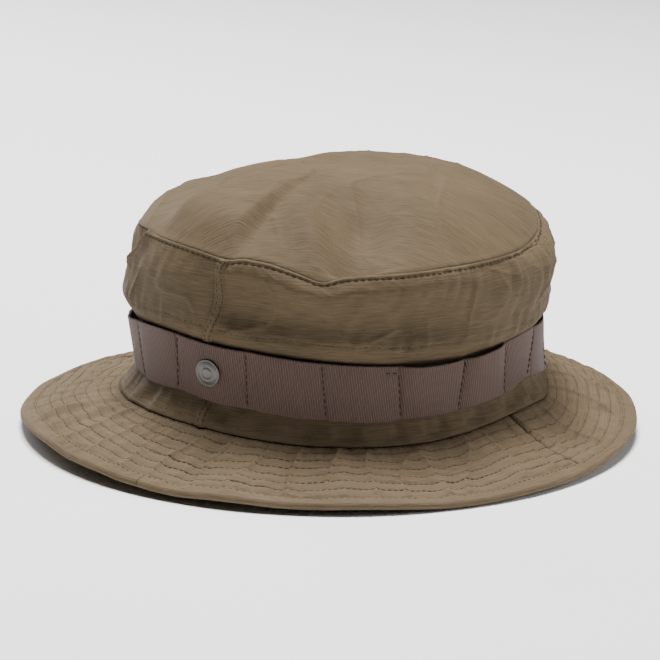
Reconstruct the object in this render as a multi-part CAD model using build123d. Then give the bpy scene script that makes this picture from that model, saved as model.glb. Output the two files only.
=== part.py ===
from build123d import *
import os

os.makedirs("parts", exist_ok=True)

# Boonie hat, standing on its brim. Millimetres, +Z up.
# The front of the hat faces -Y, the wearer's left side is +X.
# The origin is on the table, under the middle of the hat.

# Cloth and gaps
cloth = 0.8                 # thickness of one crown or brim layer
gap = 0.1                   # clearance between neighbouring layers
seam_slit = 0.1             # half of the slit between two joined panels

# Crown, given as rings of half width, half length and height
hem_height = 18.8           # lower edge of the crown side
wall_low = 26.5             # the straight wall starts here, above the flared hem
wall_high = 53.0            # and ends here, where the cloth starts to bulge
wall_half_width = 84.8
wall_half_length = 100.6
side_top = 91.0
crown_side_rings = [
    (92.3, 107.5, hem_height),
    (wall_half_width, wall_half_length, wall_low),
    (wall_half_width, wall_half_length, wall_high),
    (88.8, 104.8, 68.0),
    (88.2, 104.2, 82.0),
    (84.5, 101.0, side_top),
]
top_edge = side_top + 0.3   # underside of the top panel where it meets the side
top_rings = [
    (84.8, 101.3, top_edge),
    (81.5, 97.4, 94.3),
    (72.0, 86.0, 101.8),
    (55.0, 66.0, 111.7),
    (34.0, 41.0, 119.2),
    (16.0, 19.0, 121.9),
    (4.0, 5.0, 122.4),
]
seam_allowance = 8.0        # turned-in cloth at the top seam
seam_lap = 0.2              # how far the turned-in cloth reaches into the top panel
top_stitch_height = side_top - 3.8
hem_stitch_height = hem_height + 2.0

# Brim, a sloping ring from the crown seam to the bound edge
brim_seam = (92.6, 107.8, 18.3)
brim_edge = (137.5, 148.0, 3.5)
layer_end = 0.975           # share of the brim's width where the cloth layers stop
brim_hole = -0.038          # same measure for the layers' inner edge
collar_top = 26.0           # top of the brim's edge that is turned up inside the crown
binding_start = 0.825       # share of the brim's width where the binding begins
binding_turn = 0.979        # and where its inner face turns back
binding_stitch_share = 0.865
binding_cut = 0.2           # extra share of width of the shape that hollows the binding
brim_layers = 3
binding_cloth = 0.8
stitch_row_shares = [0.11, 0.23, 0.35, 0.47, 0.59, 0.71]

# Loop webbing round the crown
loop_count = 18
webbing_width = 25.0
webbing_base = 27.0
webbing_thick = 1.3
loop_stand_off = 2.2        # how far the middle of a loop stands off the wall
overlap_stitch = 11         # the stitch where the webbing's ends overlap; the front loop is 9
overlap_reaches = (-0.07, 0.1, 0.28)    # start, middle and end of the overlap, in loops past its stitch
overlap_lifts = (0.25, 0.75, 1.75)      # how far it rises off the strip at these places
overlap_sunk = 0.6          # how deep the overlap is joined to the strip
overlap_stitch_lift = 0.6   # how far its stitch stands off the doubled webbing

# Flat-felled seams at the front and the back
fell_half_width = 2.5
fell_height = 0.7
fell_stitch_offset = 1.4

# Badge on the front loop
badge_radius = 6.1
badge_rim = 1.0             # thickness and width of the flat rim
badge_round = 0.4           # rounding of the rim's edge
badge_rise = 1.4            # height of the dome over the rim
badge_height = webbing_base + 0.5 * webbing_width
washer_radius = 4.5
washer_thick = 0.5
washer_gap = 0.4            # room for the webbing's curve behind the badge
post_radius = 1.2
post_lap = 0.2              # how far the post reaches into the badge
post_bore_length = 20.0

# Sweatband and its label
sweatband_low = 17.0
sweatband_high = 63.0
sweatband_thick = 1.2
sweatband_inset = 1.9       # from the crown's outer face to the band's outer face
label_half_width = 16.0
label_low = 29.0
label_high = 49.0
label_thick = 0.4
label_stitch_inset = 2.0    # from the label's side edge to its stitches
sweatband_stitch_height = sweatband_high - 3.0

# Threads
thread = 0.5
stitch_margin = 1.0         # how far an upright row stops short of the cloth's edge

# Shapes that only cut
far = 400.0                 # size of the cutting boxes
cut_margin = 2.0            # extra length of a hollowing shape at each end
skirt = 3.0                 # depth of the shape that cuts the brim's lower face


def ring(half_width, half_length, height):
    """A flat oval at one height."""
    return Pos(0, 0, height) * Ellipse(half_width, half_length)


def stack(rings, inset=0.0, drop=0.0, ruled=True):
    """A solid through a list of rings, each made smaller by inset and lowered by drop."""
    faces = [ring(wide - inset, long - inset, high - drop) for wide, long, high in rings]
    return loft(faces, ruled=ruled)


def crown_ring_at(height):
    """The ring of the crown side's outer face at one height."""
    for low, high in zip(crown_side_rings, crown_side_rings[1:]):
        if low[2] <= height <= high[2]:
            share = (height - low[2]) / (high[2] - low[2])
            wide = low[0] + share * (high[0] - low[0])
            long = low[1] + share * (high[1] - low[1])
            return (wide, long, height)
    first = crown_side_rings[0]
    return (first[0], first[1], height)


def crown_rings_between(low, high):
    """The crown side's rings from one height to another."""
    inner = [one for one in crown_side_rings if low < one[2] < high]
    return [crown_ring_at(low)] + inner + [crown_ring_at(high)]


def lengthened(rings):
    """The same rings with a straight piece added at both ends, for cutting out a hollow."""
    first, last = rings[0], rings[-1]
    below = (first[0], first[1], first[2] - cut_margin)
    above = (last[0], last[1], last[2] + cut_margin)
    return [below] + rings + [above]


def crown_shell(low, high, outset, thick):
    """A skin that follows the crown side, its outer face at outset from the cloth's."""
    rings = crown_rings_between(low, high)
    outer = stack(rings, inset=-outset)
    inner = stack(lengthened(rings), inset=thick - outset)
    return outer - inner


def block(x_low, x_high, y_low, y_high, z_low=-far, z_high=far):
    """A box between two corners."""
    centre = Pos((x_low + x_high) / 2, (y_low + y_high) / 2, (z_low + z_high) / 2)
    return centre * Box(x_high - x_low, y_high - y_low, z_high - z_low)


def crown_side(sign):
    """One half of the crown side, split at the front and the back."""
    shell = crown_shell(hem_height, side_top, 0.0, cloth)
    if sign > 0:
        half = shell & block(seam_slit, far, -far, far)
        ridge = crown_shell(hem_height, side_top, fell_height, fell_height + 0.5 * cloth)
        ridge = ridge & block(seam_slit, fell_half_width, -far, far)
        cover = crown_shell(hem_height, side_top, fell_height, fell_height - gap)
        cover = cover & block(-fell_half_width, 2 * seam_slit, -far, far)
        return half + ridge + cover
    return shell & block(-far, -seam_slit, -far, far)


def crown_top():
    """The domed top panel with its seam allowance turned down inside the side."""
    dome = stack(top_rings)
    low = side_top - seam_allowance
    allowance = crown_rings_between(low, side_top)
    last = allowance[-1]
    plug_rings = allowance + [(last[0], last[1], top_edge + seam_lap)]
    plug = stack(plug_rings, inset=cloth + gap)
    first = plug_rings[0]
    hollow_rings = [(first[0], first[1], low - cut_margin)] + plug_rings
    hollow = stack(hollow_rings, inset=2 * cloth + gap)
    dome_hollow = stack(top_rings, inset=2 * cloth + gap, drop=cloth)
    return dome + plug - hollow - dome_hollow


def brim_ring(share, lift=0.0):
    """The oval at one share of the brim's width, 0 at the seam and 1 at the edge."""
    wide, long, high = [a + share * (b - a) for a, b in zip(brim_seam, brim_edge)]
    return (wide, long, high + lift)


def brim_slab(start, end, top, bottom):
    """A sloping ring between two shares of the brim's width and two height offsets."""
    edge = brim_ring(end, bottom)
    upper = stack([edge, brim_ring(end, top), brim_ring(start, top)])
    base = (edge[0], edge[1], edge[2] - skirt)
    lower = stack([base, edge, brim_ring(start, bottom)])
    wide, long, _ = brim_ring(start)
    hole = extrude(ring(wide, long, -far / 2), amount=far)
    return upper - lower - hole


def half_of(shape, sign):
    """The part of a shape in front of the side seams, or behind them."""
    if sign < 0:
        return shape & block(-far, far, -far, -seam_slit)
    return shape & block(-far, far, seam_slit, far)


def brim_layer(index):
    """One of the brim's cloth layers, counted from the top."""
    top = -index * (cloth + gap)
    return brim_slab(brim_hole, layer_end, top, top - cloth)


def brim_collar():
    """The brim's inner edge, turned up inside the crown's hem."""
    low = brim_ring(brim_hole)[2] - 0.5 * cloth
    first = crown_side_rings[0]
    rings = [(first[0], first[1], low)] + crown_rings_between(hem_height, collar_top)
    outer = stack(rings, inset=cloth + gap)
    inner = stack(lengthened(rings), inset=2 * cloth + gap)
    return outer - inner


def brim_top(sign):
    return half_of(brim_layer(0) + brim_collar(), sign)


def edge_binding():
    """The strip folded round the brim's edge."""
    depth = brim_layers * cloth + (brim_layers - 1) * gap
    top = gap + binding_cloth
    bottom = -depth - gap - binding_cloth
    outside = brim_slab(binding_start, 1.0, top, bottom)
    inside = brim_slab(binding_start - binding_cut, binding_turn, gap, -depth - gap)
    return outside - inside


def flat_hoop(wide, long, height, width=thread, tall=thread):
    """A thin oval hoop that stands for one row of thread."""
    outer = ring(wide + width, long + width, height)
    inner = ring(wide, long, height)
    return extrude(outer - inner, amount=tall)


def brim_stitches():
    """Concentric rows of thread on top of the brim."""
    rows = []
    for share in stitch_row_shares:
        wide, long, high = brim_ring(share)
        rows.append(flat_hoop(wide, long, high + gap))
    return rows


def binding_stitches():
    """The row of thread that holds the binding."""
    wide, long, high = brim_ring(binding_stitch_share)
    return [flat_hoop(wide, long, high + binding_cloth + 2 * gap)]


def crown_hoop(height):
    """One row of thread round the crown, in two halves that stop at the felled seams."""
    reach = crown_shell(height, height + thread, gap + thread, thread)
    side = fell_half_width + gap
    left = reach & block(side, far, -far, far)
    right = reach & block(-far, -side, -far, far)
    return [left, right]


def felled_seam_stitches():
    """Two rows of thread along the front seam and two along the back seam."""
    low = hem_height + stitch_margin
    high = side_top - stitch_margin
    skin = crown_shell(low, high, fell_height + gap + thread, thread)
    rows = []
    for side in (-1, 1):
        middle = side * fell_stitch_offset
        strip = skin & block(middle - thread / 2, middle + thread / 2, -far, far)
        rows.extend(strip.solids())
    return rows


def oval_point(turn, outset):
    """A point on the straight wall's oval, moved outwards. Turn 0 is the back, 0.5 the front."""
    oval = Edge.make_ellipse(wall_half_width, wall_half_length)
    turn = turn % 1.0
    point = oval.position_at(turn)
    run = oval.tangent_at(turn)
    return point + Vector(run.Y, -run.X) * outset


def webbing_wire(outset):
    """The closed outline of the webbing, one shallow arc for each loop."""
    arcs = []
    for index in range(loop_count):
        start = oval_point((index - 0.5) / loop_count, outset)
        middle = oval_point(index / loop_count, outset + loop_stand_off)
        end = oval_point((index + 0.5) / loop_count, outset)
        arcs.append(ThreePointArc(start, middle, end))
    return Wire(arcs)


def overlap_patch():
    """The webbing's outer end, lying on the first one past a stitch."""
    outset = gap + webbing_thick
    turns = [(overlap_stitch + 0.5 + reach) / loop_count for reach in overlap_reaches]
    places = list(zip(turns, overlap_lifts))
    low = [oval_point(turn, outset + lift - overlap_sunk) for turn, lift in places]
    high = [oval_point(turn, outset + lift + webbing_thick) for turn, lift in places]
    sides = [
        ThreePointArc(*low),
        Line(low[2], high[2]),
        ThreePointArc(*reversed(high)),
        Line(high[0], low[0]),
    ]
    return extrude(make_face(Wire(sides)), amount=webbing_width)


def loop_webbing():
    """The webbing strip, sewn to the crown between the loops."""
    outer = extrude(make_face(webbing_wire(gap + webbing_thick)), amount=webbing_width)
    inner = extrude(make_face(webbing_wire(gap)), amount=webbing_width + 2 * cut_margin)
    band = outer - Pos(0, 0, -cut_margin) * inner + overlap_patch()
    bore = badge_axis() * Cylinder(post_radius + gap, post_bore_length)
    return Pos(0, 0, webbing_base) * band - bore


def webbing_stitches():
    """One upright row of thread at every join between two loops."""
    bars = []
    for index in range(loop_count):
        outset = gap + webbing_thick + thread
        if index == overlap_stitch:
            outset = outset + webbing_thick + overlap_stitch_lift
        spot = oval_point((index + 0.5) / loop_count, outset)
        bar = Cylinder(thread / 2, webbing_width - 2 * stitch_margin)
        bars.append(Pos(spot.X, spot.Y, badge_height) * bar)
    return bars


def badge_axis():
    """A frame on the front loop's outer face, its Z pointing forwards."""
    reach = wall_half_length + gap + loop_stand_off + webbing_thick
    return Pos(0, -reach, badge_height) * Rot(90, 0, 0)


def badge_cap():
    """The domed metal badge and the post behind it."""
    disc = Pos(0, 0, gap + badge_rim / 2) * Cylinder(badge_radius, badge_rim)
    disc = fillet(disc.edges().group_by(Axis.Z)[-1], badge_round)
    dome_foot = badge_radius - badge_rim
    round_radius = dome_foot ** 2 / (2 * badge_rise) + badge_rise / 2
    dome = Pos(0, 0, gap + badge_rim + badge_rise - round_radius) * Sphere(round_radius)
    keep = Pos(0, 0, gap + badge_rim / 2 + badge_rise) * Cylinder(dome_foot, 2 * badge_rise)
    post_length = webbing_thick + 2 * gap + post_lap
    post = Pos(0, 0, gap - post_length / 2 + post_lap) * Cylinder(post_radius, post_length)
    return badge_axis() * (disc + (dome & keep) + post)


def badge_washer():
    """The washer behind the webbing that holds the badge."""
    depth = webbing_thick + washer_gap + washer_thick / 2
    disc = Pos(0, 0, -depth) * Cylinder(washer_radius, washer_thick)
    return badge_axis() * disc


def sweatband():
    """The band inside the crown, against the wearer's head."""
    return crown_shell(sweatband_low, sweatband_high, -sweatband_inset, sweatband_thick)


def size_label():
    """A blank label on the inside of the sweatband, at the back."""
    outset = -sweatband_inset - sweatband_thick - gap
    skin = crown_shell(label_low, label_high, outset, label_thick)
    return skin & block(-label_half_width, label_half_width, 0, far)


def label_stitches():
    """Two upright rows of thread that hold the label."""
    outset = -sweatband_inset - sweatband_thick - label_thick - 2 * gap
    skin = crown_shell(label_low + stitch_margin, label_high - stitch_margin, outset, thread)
    rows = []
    for side in (-1, 1):
        middle = side * (label_half_width - label_stitch_inset)
        rows.append(skin & block(middle - thread / 2, middle + thread / 2, 0, far))
    return rows


def save(name, shape):
    """Write one node as its own file."""
    if isinstance(shape, list):
        shape = Compound(children=shape)
    shape.label = name
    export_step(shape, "parts/" + name + ".step")


save("crown_top", crown_top())
save("crown_side_left", crown_side(1))
save("crown_side_right", crown_side(-1))
save("crown_top_stitches", crown_hoop(top_stitch_height))
save("crown_hem_stitches", crown_hoop(hem_stitch_height))
save("felled_seam_stitches", felled_seam_stitches())
save("loop_webbing", loop_webbing())
save("webbing_stitches", webbing_stitches())
save("badge_cap", badge_cap())
save("badge_washer", badge_washer())
save("brim_top_front", brim_top(-1))
save("brim_top_rear", brim_top(1))
save("brim_interlining_front", half_of(brim_layer(1), -1))
save("brim_interlining_rear", half_of(brim_layer(1), 1))
save("brim_under_front", half_of(brim_layer(2), -1))
save("brim_under_rear", half_of(brim_layer(2), 1))
save("brim_edge_binding", edge_binding())
save("brim_stitches", brim_stitches())
save("binding_stitches", binding_stitches())
save("sweatband", sweatband())
save("sweatband_stitches", crown_hoop(sweatband_stitch_height))
save("size_label", size_label())
save("size_label_stitches", label_stitches())
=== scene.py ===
"""A boonie hat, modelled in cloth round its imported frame. Shapes are worked out in millimetres."""
import math

import bpy
import numpy as np
from mathutils import Matrix, Vector


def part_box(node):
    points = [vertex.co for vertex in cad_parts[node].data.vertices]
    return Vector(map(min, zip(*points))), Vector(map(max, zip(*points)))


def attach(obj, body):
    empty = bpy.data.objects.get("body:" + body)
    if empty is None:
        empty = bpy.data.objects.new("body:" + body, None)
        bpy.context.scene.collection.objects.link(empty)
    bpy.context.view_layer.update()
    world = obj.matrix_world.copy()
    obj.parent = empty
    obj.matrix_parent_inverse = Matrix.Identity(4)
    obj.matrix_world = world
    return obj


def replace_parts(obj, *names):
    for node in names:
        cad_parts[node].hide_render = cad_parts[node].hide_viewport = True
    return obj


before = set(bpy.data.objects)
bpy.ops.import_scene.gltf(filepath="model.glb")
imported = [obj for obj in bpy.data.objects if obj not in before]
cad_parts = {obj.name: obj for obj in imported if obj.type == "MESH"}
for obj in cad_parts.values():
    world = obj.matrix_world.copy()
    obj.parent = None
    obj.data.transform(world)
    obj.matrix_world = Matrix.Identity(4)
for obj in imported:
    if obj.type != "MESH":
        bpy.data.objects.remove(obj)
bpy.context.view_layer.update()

MM = 0.001
BODY = "root"


# ---------------------------------------------------------------- sizes taken from the frame

def box_mm(node):
    low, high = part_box(node)
    return np.array(low) / MM, np.array(high) / MM


side_low, side_high = box_mm("crown_side_left")
top_low, top_high = box_mm("crown_top")
web_low, web_high = box_mm("loop_webbing")
edge_low, edge_high = box_mm("brim_edge_binding")
band_low, band_high = box_mm("sweatband")

HEM = side_low[2]                  # lower edge of the crown side
SEAM = side_high[2]                # seam between crown side and top
WEB_LOW, WEB_HIGH = web_low[2], web_high[2]
EDGE_WIDE = edge_high[0] - 2.5     # half width and half length of the brim's edge
EDGE_LONG = edge_high[1] + 0.5
WALL_WIDE = web_high[0] - 3.2      # the crown's straight wall behind the webbing
WALL_LONG = web_high[1] - 3.2
DOME = 29.5                        # rise of the top panel over its seam

CLOTH = 0.5                        # thickness of one layer of cloth
LOOPS = 18                         # webbing loops
FELL = 2.3                         # half width of the felled seams
FELL_STITCH = 1.25                 # their stitch rows, from the middle
TOP_STITCH = 1.7                   # topstitching below the top seam
BAND_STITCH = WEB_HIGH + 7.5       # stitching above the webbing, which holds the sweatband
BIND = 0.835                       # where the binding starts, as a share of the brim's width
ROWS = [0.11, 0.23, 0.35, 0.47, 0.59, 0.71]   # stitch rows on the brim, same measure
BRIM_SEAM = math.radians(89)       # where the brim's front and back halves meet


# ---------------------------------------------------------------- curves and noise

def smooth(low, high, value):
    """0 below low, 1 above high and an even S curve between them."""
    share = np.clip((value - low) / (high - low), 0, 1)
    return share * share * (3 - 2 * share)


def hill(value, centre, width):
    """A bell of height 1."""
    return np.exp(-((value - centre) / width) ** 2)


def turn_hill(tau, centre, width):
    """A bell on the angle round the hat, all three in degrees apart from tau."""
    away = np.degrees(tau) - centre
    away = (away + 180) % 360 - 180
    return np.exp(-(away / width) ** 2)


def ripple(tau, count, seed, spread=0.3, terms=9):
    """Uneven waves round the hat, about count of them, of height about 1."""
    dice = np.random.RandomState(seed)
    total = 0
    for _ in range(terms):
        waves = max(1, round(count * (1 + spread * dice.uniform(-1, 1))))
        total = total + dice.uniform(0.5, 1) * np.cos(waves * tau + dice.uniform(0, 2 * np.pi))
    return total / math.sqrt(terms * 0.3)


def lumps(x, y, size, seed, terms=14, stretch=1.0):
    """Soft unevenness over a plane, of height about 1, drawn out along x by stretch."""
    dice = np.random.RandomState(seed)
    total = 0
    for _ in range(terms):
        angle = dice.uniform(0, np.pi)
        pitch = 2 * np.pi / (size * dice.uniform(0.7, 1.5))
        along = pitch * (np.cos(angle) * x / stretch + np.sin(angle) * y)
        total = total + np.cos(along + dice.uniform(0, 2 * np.pi))
    return total / math.sqrt(terms / 2)


def creases(x, y, size, seed, stretch=1.0, sharp=0.2):
    """Narrow ridges between flatter patches, as in crumpled cloth, between 0 and 1."""
    return np.exp(-np.abs(lumps(x, y, size, seed, stretch=stretch)) / sharp)


def ring_values(table, height):
    """The ring at any height, on smooth curves through a table of rings."""
    table = np.asarray(table, float)
    height = np.asarray(height, float)
    keys = table[:, 0]
    slopes = np.gradient(table[:, 1:], keys, axis=0)
    index = np.clip(np.searchsorted(keys, height) - 1, 0, len(keys) - 2)
    span = (keys[index + 1] - keys[index])[..., None]
    share = np.clip((height - keys[index])[..., None] / span, 0, 1)
    rest = 1 - share
    start, end = table[index, 1:], table[index + 1, 1:]
    value = (1 + 2 * share) * rest ** 2 * start + share * rest ** 2 * span * slopes[index]
    return value + share ** 2 * (3 - 2 * share) * end - share ** 2 * rest * span * slopes[index + 1]


def ring_height(tau, ring):
    """Height of a ring round the hat: level, side tilt, front lift, saddle and twist."""
    level, side, front, saddle, skew = (ring[..., k] for k in range(2, 7))
    lift = side * np.sin(tau) + front * np.cos(tau)
    return level + lift + saddle * np.cos(2 * tau) + skew * np.sin(2 * tau)


SHIFT_X, SHIFT_Y = 0.85, 0.53      # the way rings are shifted: to the wearer's left rear


def ring_point(tau, ring, outset=0.0):
    """A point of a ring. tau is 0 at the front and a quarter turn at the wearer's left."""
    wide, long = ring[..., 0], ring[..., 1]
    away_x, away_y = np.sin(tau) / wide, -np.cos(tau) / long
    size = np.hypot(away_x, away_y)
    x = wide * np.sin(tau) + outset * away_x / size + SHIFT_X * ring[..., 7]
    y = -long * np.cos(tau) + outset * away_y / size + SHIFT_Y * ring[..., 7]
    return np.stack([x, y, ring_height(tau, ring) + 0 * x], axis=-1)


# ---------------------------------------------------------------- the crown

# height, half width, half length, level, side tilt, front lift, saddle, twist, shift sideways
CROWN = [
    (HEM, 90.9, 107.8, HEM + 1.2, 0.2, -1.2, 2.4, -1.7, 1.9),
    (WEB_LOW, WALL_WIDE + 0.3, WALL_LONG + 0.8, WEB_LOW + 1.1, 0.8, 1.1, 1.9, -2.2, 4.5),
    (WEB_HIGH, WALL_WIDE + 0.4, WALL_LONG + 1.1, WEB_HIGH + 0.6, 0.0, 1.2, 3.0, -2.0, 0.4),
    (WEB_HIGH + 4, WALL_WIDE + 3.9, WALL_LONG + 3.9, WEB_HIGH + 4.5, 0.4, 1.4, 3.1, -2.3, 1.0),
    (WEB_HIGH + 15, WALL_WIDE + 4.0, WALL_LONG + 4.6, WEB_HIGH + 15.2, 1.0, 1.8, 3.3, -2.8, 2.2),
    (SEAM - 9, WALL_WIDE + 4.4, WALL_LONG + 4.9, SEAM - 9.4, 2.4, 2.3, 3.5, -3.8, 3.4),
    (SEAM, WALL_WIDE + 0.6, WALL_LONG + 3.2, SEAM - 0.4, 3.0, 2.7, 3.6, -4.4, 3.4),
]


# height and the front seam's angle there in degrees
FRONT_SEAM = [(HEM, 0.1), (HEM + 4, -0.9), (WEB_LOW + 2, -1.2), (WEB_HIGH - 5, -0.5), (WEB_HIGH, 0.3),
              (WEB_HIGH + 5, 1.7), (WEB_HIGH + 9, 2.4), (WEB_HIGH + 14, 2.8), (WEB_HIGH + 20, 3.1),
              (WEB_HIGH + 27, 2.8), (SEAM - 6, 2.6), (SEAM - 3, 3.0), (SEAM, 4.0)]


def front_seam(height):
    """The angle of the front seam, which wanders a little."""
    return np.radians(np.interp(height, *np.array(FRONT_SEAM).T))


def back_seam(height):
    return np.pi + 0 * height


def bulge(tau, height):
    """The crown's fuller side, also under the webbing."""
    upwards = 1.3 * turn_hill(tau, 118, 34) * smooth(WEB_LOW + 4, WEB_HIGH, height)
    return upwards * smooth(SEAM, WEB_HIGH + 16, height)


def seam_out(tau, below):
    """How far the top seam stands out at its corner, and where it is drawn in under the crown's shoulder."""
    corner = 1.6 * turn_hill(tau, 31, 6) - 0.6 * turn_hill(tau, 16, 9)
    return corner * np.exp(-below / 5.0) - 5.0 * turn_hill(tau, 128, 34) * np.exp(-(below / 3.0) ** 2)


# angle round the hat in degrees and how far the top seam stands over its even ring there
SEAM_RISE = [
    (-180, 2.5), (-140, 0.5), (-90, -1.0), (-56, 0.6), (-34, -0.4), (-25, -1.7), (-14, -1.9), (-5, -2.2),
    (2, -3.0), (5, -3.3), (7, -2.3), (9, -1.2), (12, -1.0), (17, -0.9), (23, -2.4), (27.5, -3.6),
    (31, -5.3), (33.5, -4.0), (36.5, -2.2), (41, -1.0), (46, -0.3), (51.5, 0.4), (57.5, 1.1), (64, 1.9),
    (77, 1.8), (87, 1.0), (96, 0.0), (104, -0.4), (112, -1.0), (120, -1.2), (135, 0.0), (160, 1.5),
    (180, 2.5)]


# the same for the hem, where crown and brim meet
HEM_RISE = [
    (-180, 0.0), (-90, -1.0), (-49, -1.6), (-37, -1.9), (-32, -1.3), (-25, -0.8), (-14, -0.5), (0, -0.2),
    (12, -0.7), (28, -1.1), (43, -0.8), (58, -0.4), (67, 0.5), (77, 1.8), (86, 2.6), (96, 2.2),
    (107, -0.7), (121, -5.5), (140, -4.0), (180, 0.0)]


def rise(tau, table):
    """The height that a table gives at an angle round the hat."""
    angle = (np.degrees(tau) + 180) % 360 - 180
    turns, heights = np.array(table).T
    near = sum(np.interp((angle + step + 180) % 360 - 180, turns, heights) for step in (-1.5, 0, 1.5))
    return near / 3


def seam_lift(tau):
    """Rises and dips of the top seam."""
    return rise(tau, SEAM_RISE)


def pucker_strength(tau):
    """How hard the top seam gathers the cloth, strongest towards the wearer's left side."""
    right = 0.12 + 1.1 * turn_hill(tau, 100, 30)
    return right + 0.12 * turn_hill(tau, -60, 20) + 0.5 * turn_hill(tau, 190, 60)


def band_height(tau):
    """Height of the stitches that hold the sweatband."""
    risen = BAND_STITCH - 0.6 + 1.6 * turn_hill(tau, 80, 30)
    return risen - 1.6 * turn_hill(tau, 11, 8) - 1.6 * turn_hill(tau, -38, 16)


def side_relief(tau, height):
    """How far the crown side stands off its smooth shape."""
    below = SEAM - height
    around = 95 * tau
    fade = np.exp(-below / 9.0) * smooth(0.3, 2.5, below)
    gather = 1.7 * pucker_strength(tau) * (np.abs(ripple(tau + 0.002 * below, 44, 11)) - 0.6) * fade
    long_folds = np.abs(ripple(tau - 0.003 * below, 22, 12)) - 0.6
    gather = gather + 1.1 * pucker_strength(tau) * long_folds * np.exp(-below / 18.0) * smooth(0.5, 4, below)
    ridge = 0.25 * smooth(0.2, 0.8, below) * smooth(TOP_STITCH + 0.5, TOP_STITCH - 0.5, below)
    groove = -0.38 * hill(below, TOP_STITCH, 0.6)
    roll = -0.7 * smooth(0.8, 0.0, below) ** 1.5
    off_back = smooth(180, 160, np.abs((np.degrees(tau) + 180) % 360 - 180))
    middle = off_back * smooth(WEB_HIGH - 4, WEB_HIGH + 14, height) * smooth(SEAM, SEAM - 14, height)
    broad = 1.0 * middle * lumps(around, height, 46, 21, stretch=1.6)
    fine = 0.22 * middle * lumps(around, height, 15, 22, stretch=0.7)
    fine = fine + 0.8 * middle * creases(around, height, 46, 25, stretch=0.8, sharp=0.13)
    small = creases(around, height, 24, 26, stretch=1.5, sharp=0.18)
    fine = fine + 0.38 * off_back * smooth(0, 5, below) * small
    band = -0.35 * hill(height, band_height(tau), 0.7)
    band = band + 0.16 * ripple(tau, 90, 14) * hill(height, BAND_STITCH, 4.0)
    flare = smooth(WEB_LOW + 3, HEM + 2, height)
    hem = 0.8 * flare * ripple(tau, 30, 15) * smooth(HEM - 1, HEM + 4, height)
    hem = hem + 0.30 * ripple(tau + 0.004 * height, 70, 16) * hill(height, HEM + 5.5, 3.5)
    turn_in = 0.35 * smooth(HEM + 3.0, HEM + 1.6, height) - 0.35 * hill(height, HEM + 2.0, 0.5)
    from_crease = np.degrees(tau) + 29.5 + 0.75 * below
    crease = 2.0 * np.exp(-np.abs(from_crease) / 1.5) * smooth(26, 12, below)
    crease = crease - 2.0 * hill(from_crease, -6.5, 4.5) * smooth(24, 8, below)
    folds = 1.0 * turn_hill(tau, 104, 2.2) * hill(height, SEAM - 26, 12)
    folds = folds + 0.8 * turn_hill(tau, 96, 1.6) * hill(height, SEAM - 22, 9)
    front = smooth(-1, 6, np.degrees(tau)) * smooth(84, 60, np.degrees(tau))
    folds = folds + 1.5 * front * hill(below, 6.0, 4.0) - 2.8 * front * hill(below, 22, 10)
    folds = folds + bulge(tau, height)
    shape = gather + ridge + groove + roll + broad + fine + band + hem + turn_in + crease + folds
    return shape + seam_out(tau, below)


def side_point(tau, height, outset=0.0):
    """A point on the crown side's outer face."""
    point = ring_point(tau, ring_values(CROWN, height), side_relief(tau, height) + outset)
    point[..., 2] += seam_lift(tau) * smooth(SEAM - 22, SEAM, height)
    point[..., 2] += rise(tau, HEM_RISE) * smooth(WEB_LOW + 3, HEM, height)
    return point


def top_relief(x, y, radius, tau):
    """Folds of the top panel, as height over its smooth dome."""
    inwards = 95 * (1 - radius)
    strength = pucker_strength(tau)
    rays = 0.9 * strength * (np.abs(ripple(tau, 44, 11)) - 0.6) * np.exp(-inwards / 6.0)
    long_rays = np.abs(ripple(tau + 0.004 * inwards, 20, 32)) - 0.6
    rays = rays + 0.7 * strength * long_rays * np.exp(-inwards / 16.0)
    broad = 0.9 * lumps(x, y, 62, 41, stretch=1.5) * smooth(1.0, 0.7, radius)
    broad = broad + 6.5 * np.exp(-(((x + 67) / 16) ** 2 + ((y + 32) / 22) ** 2))
    broad = broad - 2.0 * np.exp(-(((x + 38) / 16) ** 2 + ((y - 6) / 18) ** 2))
    fine = 0.18 * lumps(x, y, 20, 42) * smooth(1.0, 0.8, radius)
    fine = fine + 0.7 * creases(x, y, 66, 45, sharp=0.12) * smooth(1.0, 0.85, radius)
    fine = fine + 0.4 * creases(x, y, 34, 46, stretch=1.6, sharp=0.18) * smooth(1.0, 0.9, radius)
    corner = np.radians(31)
    along = x * np.sin(corner) - y * np.cos(corner)
    across = x * np.cos(corner) + y * np.sin(corner)
    fold = 3.2 * hill(across + 6 + 0.35 * (92 - along), 0, 8) * smooth(35, 80, along)
    fold = fold - 6.5 * hill(across - 8 - 0.15 * (92 - along), 0, 11) * smooth(15, 70, along)
    turned = np.degrees(tau)
    window = smooth(-32, -22, turned) * smooth(9, 2, turned)
    steep = 9.5 * window * np.tanh((inwards / 11) ** 1.4) * np.exp(-(inwards / 40) ** 2)
    from_crease = (x + 44) * 0.92 + (y + 86) * 0.39
    crease = 1.3 * np.exp(-np.abs(from_crease) / 1.6) * smooth(-40, -56, y) * smooth(-20, -40, x)
    return rays + broad + fine + fold + steep + crease


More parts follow.
